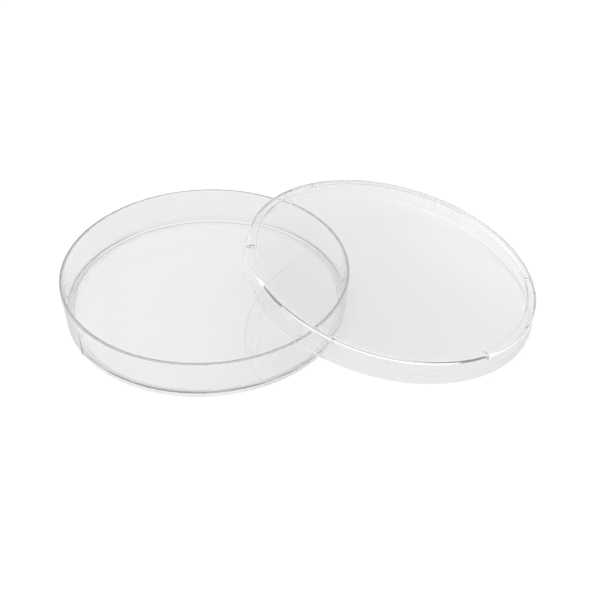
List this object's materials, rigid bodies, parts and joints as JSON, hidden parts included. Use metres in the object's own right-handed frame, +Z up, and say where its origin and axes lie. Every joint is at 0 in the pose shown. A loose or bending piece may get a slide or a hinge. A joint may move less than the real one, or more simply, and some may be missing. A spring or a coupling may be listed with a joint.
{
  "type": "petri dish",
  "caption": "Shallow round clear plastic culture dish with a loose vented lid leaning on its rim.",
  "frame": {"origin": "on the bench, under the middle of the whole object's box", "axes": "+Z up, +X from the dish towards the lid that leans on it, along the longest side; the line between the two axes is the plane Y = 0"},
  "size_m": [0.1426, 0.0896, 0.023],
  "materials": {
    "dish_plastic": "clear, polished moulded polystyrene",
    "lid_plastic": "clear, polished moulded polystyrene"
  },
  "bodies": {
    "dish_body": {"dish": "dish_plastic"},
    "lid_body": {"lid": "lid_plastic"}
  },
  "joints": [
    {"name": "lid_lift", "type": "slide", "parent": "dish_body", "child": "lid_body", "axis": [0, 0, 1], "range_m": [0, 0.05]}
  ]
}
